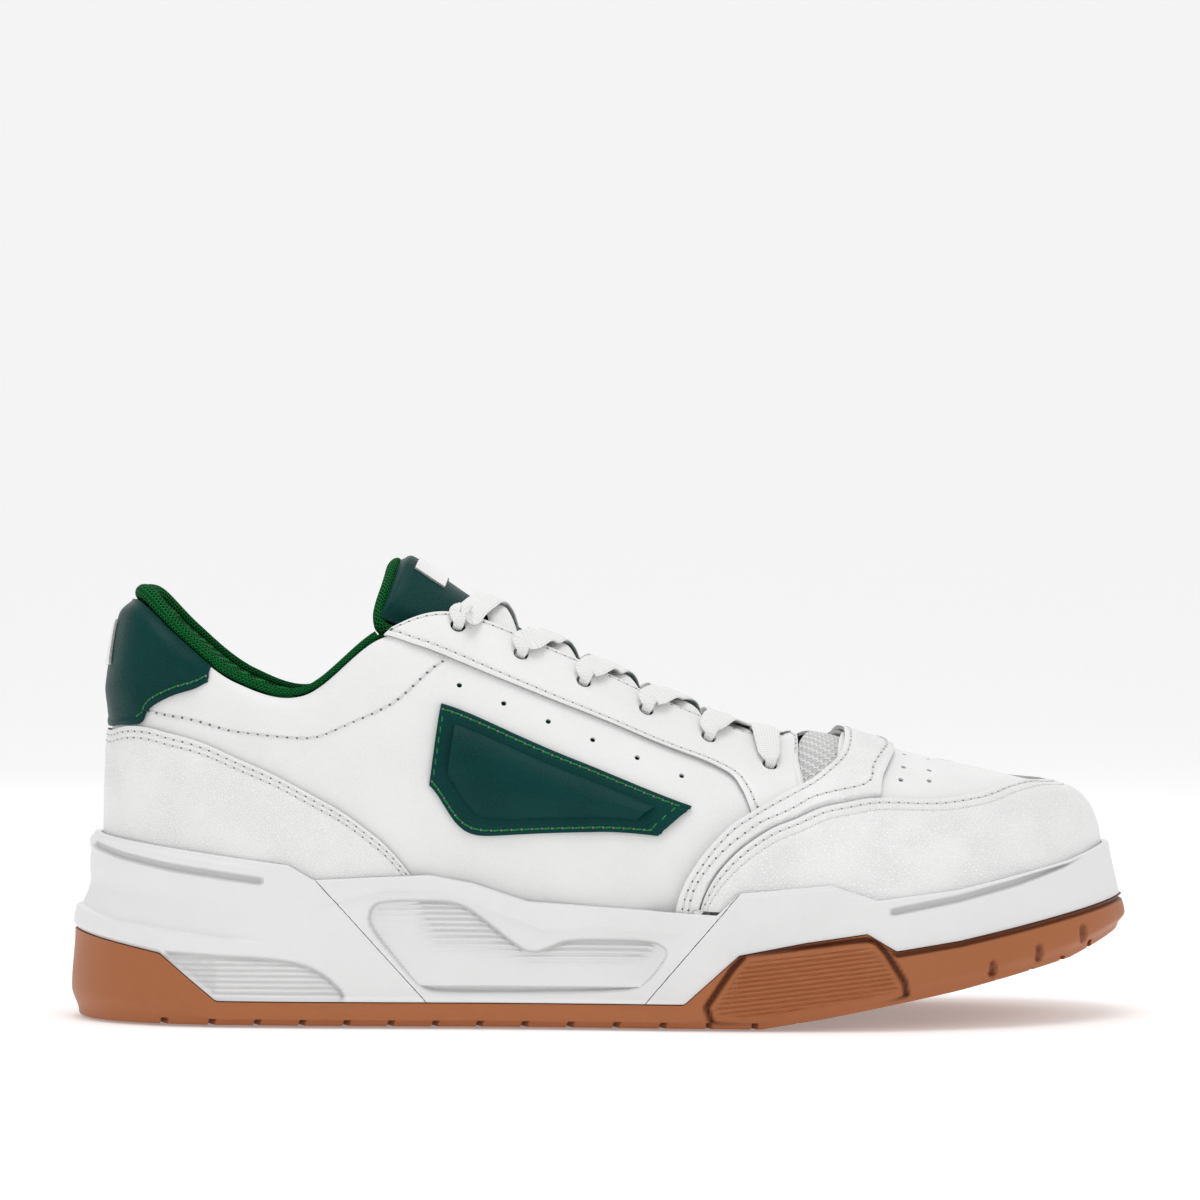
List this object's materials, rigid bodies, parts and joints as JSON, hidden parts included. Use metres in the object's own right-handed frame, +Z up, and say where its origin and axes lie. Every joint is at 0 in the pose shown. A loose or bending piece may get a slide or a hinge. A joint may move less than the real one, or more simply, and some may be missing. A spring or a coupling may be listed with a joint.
{
  "type": "court shoe",
  "caption": "Low court shoe with a cupsole, a gum outsole, layered leather upper, padded collar and flat lace.",
  "frame": {"origin": "middle of the outsole's outline on the surface that the shoe stands on", "axes": "+X from heel to toe, +Y to the medial side, +Z up"},
  "size_m": [0.3, 0.1058, 0.1313],
  "materials": {
    "gum_rubber": "matt moulded gum rubber, darker in the channels",
    "white_rubber": "matt moulded white rubber",
    "smooth_leather": "white leather, fine grain",
    "pebbled_leather": "white leather, pebbled grain, raw grey edges",
    "tumbled_leather": "white tumbled leather, raw grey edges",
    "green_leather": "dark green leather with a soft sheen",
    "honeycomb_mesh": "white honeycomb mesh",
    "green_knit": "bright green knit with dark gaps",
    "lining_textile": "white textile lining",
    "lace_weave": "flat white woven cord",
    "foam": "open cell foam",
    "board": "pressed fibre board",
    "stiffener": "moulded thermoplastic"
  },
  "bodies": {
    "shoe": {"outsole": "gum_rubber", "cupsole_heel": "white_rubber", "cupsole_shank": "white_rubber", "cupsole_forefoot": "white_rubber", "midsole_wedge": "foam", "shank_plate": "stiffener", "strobel_board": "board", "quarter_lateral": "smooth_leather", "quarter_medial": "smooth_leather", "vamp_mesh": "honeycomb_mesh", "eyestay_lateral": "pebbled_leather", "eyestay_medial": "pebbled_leather", "saddle_strip": "pebbled_leather", "mudguard": "tumbled_leather", "toe_vamp": "smooth_leather", "heel_foxing": "tumbled_leather", "heel_tab": "green_leather", "heel_label": "smooth_leather", "side_panel_lateral": "green_leather", "side_panel_medial": "green_leather", "side_pad_lateral": "green_leather", "side_pad_medial": "green_leather", "heel_counter": "stiffener", "collar_foam": "foam", "collar_lining": "green_knit", "forefoot_lining": "lining_textile", "toe_puff": "stiffener", "collar_piping": "green_knit", "lace": "lace_weave"},
    "tongue": {"tongue_face": "green_leather", "tongue_foam": "foam", "tongue_lining": "green_knit", "tongue_label": "smooth_leather", "tongue_binding": "green_knit"},
    "sockliner": {"sockliner": "green_knit"}
  },
  "joints": [
    {"name": "tongue_hinge", "type": "hinge", "parent": "shoe", "child": "tongue", "pos_m": [0.05, 0, 0.069], "axis": [0, -1, 0], "range_deg": [0, 6]},
    {"name": "sockliner_lift", "type": "hinge", "parent": "shoe", "child": "sockliner", "pos_m": [0.134, 0, 0.0345], "axis": [0, 1, 0], "range_deg": [0, 7]}
  ]
}
